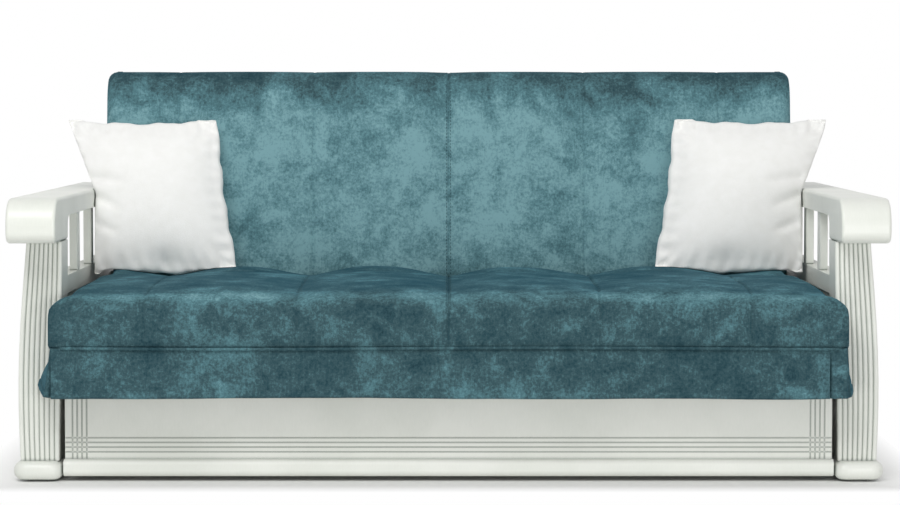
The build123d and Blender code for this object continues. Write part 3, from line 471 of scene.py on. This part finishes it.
def seat_spread(y):
    """How far the seat spreads past its width between the arms: up to SPREAD, by a smooth step that starts
    8 mm in front of the posts."""
    return SPREAD * ease((POST_FRONT - 0.008 - y) / 0.080)


def stand_up(surface, pivot, facing):
    """Turns a flat section up by its lean about the pivot; facing is 1 to the front and -1 to the rear."""
    a, b = surface[:, :, 1] - HALF_THICK, surface[:, :, 2] - HALF_THICK
    y = a * np.cos(LEAN) - b * np.sin(LEAN)
    z = a * np.sin(LEAN) + b * np.cos(LEAN)
    return np.stack([facing * surface[:, :, 0], pivot[1] + facing * y, pivot[2] + z], axis=2)


def make_pad(name, surface, sewn, nap, body, node):
    """One padded section: its surface, swollen as cloth, with its painted light and shade kept as an attribute.
    Gives back the points of its skin."""
    rows, columns = surface.shape[:2]
    piece = make_piece(name, surface, capped_faces(rows, columns), "teal_velvet", body)
    swell(piece, sewn, 2.5, 14, 0.010, 18.0, 0.6)
    # The attribute holds painted light and shade, with some random tone
    piece.data.attributes.new("nap", "FLOAT", "POINT").data.foreach_set("value", nap.ravel())
    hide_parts(node)
    return positions(piece.data).reshape(rows, columns, 3)


OUTLINE_STEPS = 116
SHOULDER = SECTION_THICK - CROWN
section_outline = rounded_outline([
    (0, PAD_LOW, 0.012), (SECTION_LENGTH - 0.029, PAD_LOW, 0.003), (SECTION_LENGTH - 0.029, 0.004, 0.003),
    (SECTION_LENGTH, 0.004, 0.006), (SECTION_LENGTH, SHOULDER, 0.055), (0, SHOULDER, 0.050)], OUTLINE_STEPS)
section, section_face = pad_surface(SECTION_LENGTH, section_outline, SHOULDER, CROWN,
                                    lambda a: ease((a - 0.140) / 0.03), section_dents)
section_sewn = pad_sewn(section, PAD_LOW, SHOULDER)
# Painted light on the back: paler over its middle, darker along its top, its foot and its seams.
rise = section[:, :, 1] / SECTION_LENGTH
section_painted_light = section_face * ease((rise + 0.12) / 0.40) * ease((1.02 - rise) / 0.26)
section_painted_light -= seam_shade(section[:, :, 0])

SEAT_SHOULDER = float(SEAT_HIGH[2]) - CROWN - 0.007
NOSE_TOP = SKIRT_TOP + 0.0185
seat_outline = rounded_outline([
    (0, SKIRT_TOP, 0.008), (0.050, SKIRT_TOP, 0.004), (0.050, NOSE_TOP, 0.004), (SEAT_DEPTH, NOSE_TOP, 0.010),
    (SEAT_DEPTH, SEAT_SHOULDER, 0.050), (0, SEAT_SHOULDER, 0.060)], OUTLINE_STEPS)
seat, seat_face = pad_surface(SEAT_DEPTH, seat_outline, SEAT_SHOULDER, 0.002,
                              lambda a: ease((SEAT_DEPTH - 0.135 - a) / 0.03), seat_dents)
seat_sewn = pad_sewn(seat, SKIRT_TOP, SEAT_SHOULDER)
seat[:, :, 1] += SEAT_LOW[1]
spread = seat_spread(seat[:, :, 1]) * ease((np.abs(seat[:, :, 0]) - 0.60) / 0.15)
seat[:, :, 0] += np.sign(seat[:, :, 0]) * spread
from_front = seat[:, :, 1] - SEAT_LOW[1]
# Painted highlight along the seat's front edge, and painted shade along its seams.
seat_painted_light = 0.54 * bell(from_front - 0.035, 0.030) * ease((seat[:, :, 2] - SEAT_SHOULDER + 0.05) / 0.04)
# Brushed waves of random tone over the top, set 0.03 darker as painted shade
waves = 0.14 * brushed(seat[:, :, 0], seat[:, :, 1]) - 0.03
seat_painted_light += seat_face * ease((from_front - 0.04) / 0.05) * waves
seat_painted_light -= seam_shade(seat[:, :, 0])

seat_skin = make_pad("seat_cover", seat, seat_sewn, seat_painted_light, "seat", "seat_mattress")
back_skin = make_pad("back_cover", stand_up(section, SEAT_PIVOT, 1), section_sewn, section_painted_light,
                     "back_section", "back_mattress")
rear_skin = make_pad("rear_cover", stand_up(section, REAR_PIVOT, -1), section_sewn, section_painted_light,
                     "rear_section", "rear_mattress")


# Skirt

PLEAT_INSET = 0.030           # the right pleat is on the front, this far from the corner


def skirt_path():
    """The skirt's line on plan as distance, x, y and its corners: forward along the left side, across the
    front and back along the right side, in 6 mm steps, and finer round the corners."""
    half, front, rear = HALF_WIDTH + SPREAD - 0.008, float(SEAT_LOW[1]) + 0.004, POST_FRONT - 0.006
    corner = np.cumsum([0, rear - front, 2 * half, rear - front])
    near = np.linspace(-0.02, 0.02, 61)
    steps = [np.linspace(0, corner[3], 290), corner[1] + near, corner[2] + near,
             corner[2] - PLEAT_INSET + 0.4 * near]
    run = np.unique(np.round(np.concatenate(steps), 5))
    x = np.interp(run, corner, [-half, -half, half, half])
    y = np.interp(run, corner, [rear, front, front, rear])
    return run, x, y, corner


def side_rise(y):
    """How far the skirt's top climbs on the sides, up to the pad's underside behind its nose, by a smooth
    step."""
    return (NOSE_TOP - SKIRT_TOP) * ease((y - SEAT_LOW[1] - 0.030) / 0.030)


def skirt_surface():
    """The skirt as path by drop: the plan line moved out by a flare that grows downwards and, on the sides,
    backwards, by shallow waves, and by a narrow pleat at or near each corner; the hem lifts along the
    sides."""
    run, x, y, corner = skirt_path()
    drop = np.concatenate([np.linspace(0, 0.80, 15), [0.84, 0.865, 0.885, 0.91, 0.95, 1.0]])
    run, x, y = run[:, None], x[:, None], y[:, None]
    t = drop[None, :]
    left, right = run - corner[1], run - corner[2]
    on_side = np.maximum(ease(-left / 0.012), ease(right / 0.012))
    waves = 0.0045 * np.sin(9.4 * x + 0.7) + 0.0025 * np.sin(23.0 * x + 2.0) + 0.0015 * np.sin(47.0 * x)
    out_front = t * 0.004 + t ** 1.5 * waves * (1 - on_side)
    away = np.clip(np.maximum(-left, right) / 0.085, 0, 1)
    out_side = np.where(x < 0, 0.006 + 0.030 * t, 0.010 + 0.014 * t) * (0.25 + 0.75 * away ** 0.8)
    pleat = 0.020 * ease((t - 0.04) / 0.5) * (bell(left + 0.003, 0.0022) + bell(right + PLEAT_INSET, 0.0022))
    hem = 0.0012 * ease((t - 0.865) / 0.02) - 0.0008 * bell(t - 0.862, 0.012)
    tuck = (1 - t) ** 2 * (SPREAD - seat_spread(y))
    across = x + np.sign(x) * (on_side * (out_side + hem - tuck) - 0.4 * pleat)
    ahead = y - (1 - on_side) * (out_front + hem) + pleat
    droop = 1 + 0.03 * bell(x - 0.66, 0.11) + 0.01 * np.sin(6.0 * x)
    lift = t * away * np.where(x < 0, 0.020, 0.006)
    top = SKIRT_TOP + 0.002 + on_side * side_rise(y)
    height = top - (top - HEM) * t * droop + lift
    return np.stack(np.broadcast_arrays(across, ahead, height), axis=2)


skirt_skin = skirt_surface()
skirt = make_piece("skirt_cloth", skirt_skin, grid_faces(*skirt_skin.shape[:2], False), "teal_velvet", "seat")
walls = skirt.modifiers.new("cloth_thickness", "SOLIDIFY")
walls.thickness = 0.0022
walls.offset = 0.0
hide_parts("seat_skirt")


# Piping and stitching

def tube_along(path, radius, sides=10):
    """A round profile carried along a path: at each point a ring of radius round the path's direction, on two
    axes square to it."""
    ahead = np.gradient(path, axis=0)
    ahead /= np.linalg.norm(ahead, axis=1, keepdims=True)
    first = np.cross(ahead, (0.0, 0.0, 1.0))
    first /= np.linalg.norm(first, axis=1, keepdims=True)
    second = np.cross(first, ahead)
    turn = np.linspace(0, 2 * np.pi, sides, endpoint=False)[None, :, None]
    return path[:, None] + radius * (np.cos(turn) * first[:, None] + np.sin(turn) * second[:, None])


def piping():
    """The welt between pad and skirt: a 7 mm cord under the cover, along the skirt's plan line, dipping with
    a slow wave and standing half out of the seam."""
    run, x, y, corner = skirt_path()
    keep = np.concatenate([[True], np.diff(run) > 0.0015])
    run, x, y = run[keep], x[keep], y[keep]
    rounded = np.minimum(np.abs(run - corner[1]), np.abs(run - corner[2]))
    cut = 0.006 * bell(rounded, 0.010)
    on_side = (run < corner[1]) | (run > corner[2])
    out = np.where(on_side, 0.003 + seat_spread(y) - SPREAD, 0.0)
    height = SKIRT_TOP + 0.002 + 0.0015 * np.sin(5.0 * x + 0.6) + np.where(on_side, side_rise(y), 0)
    path = np.stack([x + np.sign(x) * (out - cut), y - np.where(on_side, 0, 0.004) + cut, height], axis=1)
    ring = tube_along(path, 0.0034)
    return make_piece("seat_piping", ring, capped_faces(*ring.shape[:2]), "teal_velvet", "seat")


def stitches(name, lines, body):
    """Rows of stitches: along each line, every 7.5 mm, a 5 mm thread lying in the cover. Each is a tapered
    six-sided bead of five rings, its radius the square root of a parabola."""
    rings, sides, pitch, half, thick = 5, 6, 0.0075, 0.0026, 0.0007
    centres, heads = [], []
    for line in lines:
        run = np.concatenate([[0], np.cumsum(np.linalg.norm(np.diff(line, axis=0), axis=1))])
        at = np.arange(pitch, run[-1] - pitch, pitch)
        point, ahead = (np.stack([np.interp(at + step, run, line[:, k]) for k in range(3)], axis=1)
                        for step in (0.0, 0.002))
        centres.append(point)
        heads.append(ahead - point)
    centre, ahead = np.concatenate(centres), np.concatenate(heads)
    ahead /= np.linalg.norm(ahead, axis=1, keepdims=True)
    side = np.tile((1.0, 0.0, 0.0), (len(centre), 1))
    up = np.cross(side, ahead)
    s = np.linspace(-0.98, 0.98, rings)[None, :, None, None]
    turn = np.linspace(0, 2 * np.pi, sides, endpoint=False)[None, None, :, None]
    radius = thick * np.sqrt(1 - s ** 2) + 0.0001
    bead = (centre[:, None, None] + half * s * ahead[:, None, None]
            + radius * (np.cos(turn) * side[:, None, None] + np.sin(turn) * up[:, None, None]))
    one = np.array(grid_faces(rings, sides, True))
    caps = np.array([np.arange(sides), np.arange(sides) + (rings - 1) * sides])
    step = np.arange(len(centre))[:, None, None] * rings * sides
    faces = (one + step).reshape(-1, 4).tolist() + (caps + step).reshape(-1, sides).tolist()
    return make_piece(name, bead, faces, "teal_velvet", body)


def seam_lines(skin, slices, wanted):
    """The lines on a pad's skin that lie STITCH_GAP either side of the middle seam, over the wanted steps."""
    rows = [int(np.argmin(np.abs(slices - offset))) for offset in (-STITCH_GAP, STITCH_GAP)]
    return [skin[row, wanted] for row in rows]


piping()
slices = pad_slices()
FIRST_STEP = 30               # the outline's steps up to this one are a pad's underside
OFF_EDGE = 0.006              # stitching starts this far above a pad's lower edge
front_edge = seat_outline[:, 0] < 0.02
seat_steps = np.flatnonzero((seat_outline[:, 1] > SKIRT_TOP + OFF_EDGE)
                            & (front_edge | (seat_outline[:, 1] > NOSE_TOP + OFF_EDGE)))
seat_steps = seat_steps[seat_steps > FIRST_STEP]
far_edge = section_outline[:, 0] > SECTION_LENGTH - 0.02
back_steps = np.flatnonzero((section_outline[:, 1] > 2 * OFF_EDGE)
                            & (far_edge | (section_outline[:, 1] > PAD_LOW + OFF_EDGE)))
back_steps = back_steps[back_steps > FIRST_STEP]
for name, skin, steps, body in (("seat_cover", seat_skin, seat_steps, "seat"),
                                ("back_cover", back_skin, back_steps, "back_section"),
                                ("rear_cover", rear_skin, back_steps, "rear_section")):
    stitches(name + "_stitching", seam_lines(skin, slices, steps), body)


# Loose cushions

CUSHION_SIZE = (0.350, 0.365, 0.145)     # width, height and thickness
CUSHION_LEAN = np.radians(20.0)
SLUMP = 0.15                  # how far the top slides outwards, per metre of height
SINK_BACK, SINK_SEAT = 0.014, 0.016      # how far a cushion is pushed into the back and the seat
CLEAR = 0.0012                # left between a cushion and what it lies on
ARM_FACE = 0.783              # the arm's inner face
ARM_TOP = 0.570               # above this a cushion leans out over the arm
LEAN_OUT = 0.45               # by this much per metre of height
SOFT_STOP = 0.004             # how softly the arm stops it


def height_map(x, along, height):
    """A pad's face as a table of heights on 121 even steps along it: each slice is read by straight lines."""
    even = np.linspace(along.min() + 0.001, along.max() - 0.001, 121)
    order = np.argsort(along, axis=1)
    table = np.stack([np.interp(even, a[o], h[o]) for a, h, o in zip(along, height, order)])
    return x, even, table


def look_up(table, x, along):
    """Reads a height map between its points, straight in both directions."""
    across, even, heights = table
    i = np.clip(np.searchsorted(across, x) - 1, 0, len(across) - 2)
    j = np.clip(np.searchsorted(even, along) - 1, 0, len(even) - 2)
    u = np.clip((x - across[i]) / (across[i + 1] - across[i]), 0, 1)
    v = np.clip((along - even[j]) / (even[j + 1] - even[j]), 0, 1)
    low = heights[i, j] * (1 - v) + heights[i, j + 1] * v
    high = heights[i + 1, j] * (1 - v) + heights[i + 1, j + 1] * v
    return low * (1 - u) + high * u


def lay_flat(y, z):
    """A point's distance along the folded back and its height above the back's frame."""
    dy, dz = y - SEAT_PIVOT[1], z - SEAT_PIVOT[2]
    along = dy * np.cos(LEAN) + dz * np.sin(LEAN) + HALF_THICK
    return along, -dy * np.sin(LEAN) + dz * np.cos(LEAN) + HALF_THICK


def cushion_shell(count=49):
    """Two square panels sewn round the edge. Half the thickness is the product of (1 - u^2) and (1 - v^2)
    to the power 0.55, with puckers of 34 mm pitch that fade within 30 mm of the seam and 4 mm folds into
    the corners. The sides draw in by a parabola, least at the foot, and by nicks of up to 4 mm, and the
    corners are rounded by a high power of u times v."""
    even = np.sin(np.linspace(-np.pi / 2, np.pi / 2, count)) * 0.45 + np.linspace(-1, 1, count) * 0.55
    u, v = np.meshgrid(even, even, indexing="ij")
    corner = 1 - 0.03 * np.abs(u * v) ** 8
    across = 0.178 * u * corner * (1 - 0.085 * (1 - v ** 2))
    up = 0.186 * v * corner * (1 - (0.035 + 0.065 * ease(v + 0.5)) * (1 - u ** 2))
    edge = 0.18 * (1 - np.maximum(np.abs(u), np.abs(v)))
    upright = np.abs(u) > np.abs(v)
    line = np.where(upright, up + 0.012 * np.sin(14 * up), across + 0.012 * np.sin(11 * across + 1.0))
    pucker = 0.0038 * np.sin(2 * np.pi * line / 0.034) * bell(edge - 0.015, 0.016) * (edge > 0)
    nick = np.sin(2 * np.pi * line / 0.093 + 1.0) + 0.6 * np.sin(2 * np.pi * line / 0.041) * np.sin(19 * line)
    nick = 0.0024 * nick * bell(edge, 0.024) * (1 - np.abs(u * v) ** 3)
    across = across - np.where(upright, np.sign(u) * nick, 0)
    up = up - np.where(upright, 0, np.sign(v) * nick)
    near_corner = ease((np.abs(u) - 0.55) / 0.3) * ease((1 - np.abs(u)) / 0.1)
    fold = 0.004 * bell(np.abs(u) - np.abs(v), 0.10) * near_corner
    thick = 0.070 * ((1 - u ** 2) * (1 - v ** 2)) ** 0.55
    panels = np.stack([np.stack([across, up, side * (thick + pucker * shift - fold)], axis=2)
                       for side, shift in ((1, 1), (-1, -0.6))])
    one = np.array(grid_faces(count, count, False))
    return panels, np.concatenate([one, one + count * count]).tolist()


def pressed_in(p, q, r):
    """The creases where the arm presses a cushion, and the dent in its foot: valleys on the front panel,
    bells about straight lines from the arm inwards, which fade as one less the square of the way, and one
    round bell."""
    starts = np.array([(0.125, 0.030), (0.125, -0.012), (0.125, -0.075)])
    ends = np.array([(0.040, 0.010), (0.060, -0.050), (0.075, -0.100)])
    run = ends - starts
    from_start = np.stack([p, q], axis=1)[:, None] - starts
    t = np.clip((from_start * run).sum(axis=2) / (run ** 2).sum(axis=1), 0, 1)
    off = np.linalg.norm(from_start - t[..., None] * run, axis=2)
    valley = (0.0110 * bell(off, 0.0085) * (1 - t ** 2)).sum(axis=1)
    dent = 0.012 * bell(np.hypot(p + 0.02, q + 0.165), 0.026)
    return np.where(r > 0, np.maximum(r - valley - dent, 0.3 * r), r)


def cushion(node, side, place, blown, turned):
    """One cushion: the blown shell, brought to CUSHION_SIZE, leaned back with its top slumped out, then
    pressed flat where it meets the seat, the back and the arm. Gives back the blown shell."""
    panels, faces = cushion_shell()
    piece = make_piece(node + "_cover", panels, faces, "white_plush", node, merge=True)
    if blown is None:
        swell(piece, np.zeros(len(piece.data.vertices), bool), 2.0, 12, 0.006, 14.0, 0.4)
        blown = positions(piece.data)
    p, q, r = (blown * turned).T
    p, q, r = (axis * wanted / np.ptp(axis) for axis, wanted in zip((p, q, r), CUSHION_SIZE))
    r = pressed_in(p, q, r)
    x = place + p + SLUMP * q
    y = q * np.sin(CUSHION_LEAN) - r * np.cos(CUSHION_LEAN)
    z = q * np.cos(CUSHION_LEAN) + r * np.sin(CUSHION_LEAN)
    z = z + SEAT_SHOULDER - z.min() + 0.002
    y = y + SEAT_PIVOT[1] - HALF_THICK - y.max()
    for _ in range(4):
        a, b = lay_flat(y, z)
        y = y + (b - look_up(back_table, x * side, a)).min() + SINK_BACK
        z = z - (z - look_up(seat_table, x * side, y)).min() - SINK_SEAT
    a, b = lay_flat(y, z)
    b = np.maximum(b, look_up(back_table, x * side, a) + CLEAR)
    da, db = a - HALF_THICK, b - HALF_THICK
    y = SEAT_PIVOT[1] + da * np.cos(LEAN) - db * np.sin(LEAN)
    z = SEAT_PIVOT[2] + da * np.sin(LEAN) + db * np.cos(LEAN)
    z = np.maximum(z, look_up(seat_table, x * side, y) + CLEAR)
    past = x - ARM_FACE - LEAN_OUT * np.clip(z - ARM_TOP, 0, None)
    x = x - SOFT_STOP * np.logaddexp(0, past / SOFT_STOP)
    move_to(piece, np.stack([side * x, y, z], axis=1))
    work = bmesh.new()
    work.from_mesh(piece.data)
    bmesh.ops.recalc_face_normals(work, faces=work.faces)
    work.to_mesh(piece.data)
    work.free()
    smooth = piece.modifiers.new("round", "SUBSURF")
    smooth.levels = smooth.render_levels = 1
    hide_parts(node)
    return blown


# What the cushions lie on
seat_table = height_map(slices, seat_skin[:, seat_steps, 1], seat_skin[:, seat_steps, 2])
back_along, back_above = lay_flat(back_skin[:, :, 1], back_skin[:, :, 2])
on_face = section_outline[:, 1] > 0.10
back_table = height_map(slices, back_along[:, on_face], back_above[:, on_face])
blown_cover = cushion("cushion_left", -1, 0.666, None, (1, 1, 1))
cushion("cushion_right", 1, 0.652, blown_cover, (-1, 1, 1))


# Camera, floor and light

def camera(place, pitch, lens):
    """A level camera that looks along +Y, tipped down by pitch degrees."""
    data = bpy.data.cameras.new("camera")
    data.lens = lens
    eye = bpy.data.objects.new("camera", data)
    eye.location = place
    eye.rotation_euler = (np.radians(90 - pitch), 0, 0)
    scene.collection.objects.link(eye)
    scene.camera = eye


def soft_light(name, place, target, size, power):
    """A rectangular light that faces its target."""
    data = bpy.data.lights.new(name, "AREA")
    data.shape = "RECTANGLE"
    data.size, data.size_y = size
    data.energy = power
    lamp = bpy.data.objects.new(name, data)
    lamp.location = place
    lamp.rotation_euler = (Vector(target) - Vector(place)).to_track_quat("-Z", "Y").to_euler()
    scene.collection.objects.link(lamp)


def seen_white(tree):
    """1 where the camera, a mirror or glass looks, by the kind of ray."""
    rays = put(tree, "LightPath")
    seen = rays["Is Camera Ray"]
    for kind in ("Is Glossy Ray", "Is Transmission Ray"):
        seen = put(tree, "Math", {"operation": "MAXIMUM"}, {0: seen, 1: rays[kind]})["Value"]
    return seen


def floor():
    """A white studio floor, flat: it keeps the shadow, and away from the sofa it shows plain white."""
    material, tree, _, place = blank("studio_floor", {"Roughness": 0.8, "Base Color": linear("#F2F2F1")})
    glow = put(tree, "Emission", {"Color": (1, 1, 1, 1), "Strength": 1.0})["Emission"]
    # 0.90 by 0.61 m is half the sofa's plan with a margin; the shadow fades out past it.
    flat = put(tree, "VectorMath", {"operation": "MULTIPLY", 1: (1 / 0.90, 1 / 0.61, 0)},
               {0: place})["Vector"]
    flat = put(tree, "VectorMath", {"operation": "ABSOLUTE"}, {0: flat})["Vector"]
    axes = put(tree, "SeparateXYZ", {}, {"Vector": flat})
    away = put(tree, "Math", {"operation": "MAXIMUM"}, {0: axes["X"], 1: axes["Y"]})["Value"]
    share = put(tree, "MapRange", {"From Min": 0.95, "From Max": 1.11, "To Min": 0.0, "To Max": 1.0},
                {"Value": away})["Result"]
    amount = put(tree, "Math", {"operation": "MULTIPLY"}, {0: seen_white(tree), 1: share})["Value"]
    plain = tree.nodes["Principled BSDF"].outputs["BSDF"]
    mixed = put(tree, "MixShader", {}, {"Fac": amount, 1: plain, 2: glow})
    tree.links.new(mixed["Shader"], tree.nodes["Material Output"].inputs["Surface"])
    reach = np.array([[-40, -40, 0], [40, -40, 0], [40, 40, 0], [-40, 40, 0]], float)
    mesh = bpy.data.meshes.new("floor")
    mesh.from_pydata(reach.tolist(), [], [(0, 1, 2, 3)])
    mesh.materials.append(material)
    ground = bpy.data.objects.new("floor", mesh)
    scene.collection.objects.link(ground)


def studio():
    """White all round: full strength where it is seen, and a plainer level where it lights the sofa."""
    world = bpy.data.worlds.new("studio")
    world.use_nodes = True
    tree = world.node_tree
    level = put(tree, "MapRange", {"To Min": 0.50, "To Max": 1.0}, {"Value": seen_white(tree)})["Result"]
    tree.nodes["Background"].inputs["Color"].default_value = (1, 1, 1, 1)
    tree.links.new(level, tree.nodes["Background"].inputs["Strength"])
    scene.world = world


camera((0.003, -6.40, 0.7750), 3.0, 116.4)
floor()
studio()
soft_light("key", (-1.0, -3.0, 3.2), (0, 0.1, 0.5), (2.4, 1.4), 70)
soft_light("front", (1.6, -5.0, 0.45), (0, 0, 0.4), (2.0, 0.8), 36)
soft_light("bounce", (0, -2.6, 0.06), (0, -0.5, 0.2), (3.0, 0.3), 5)
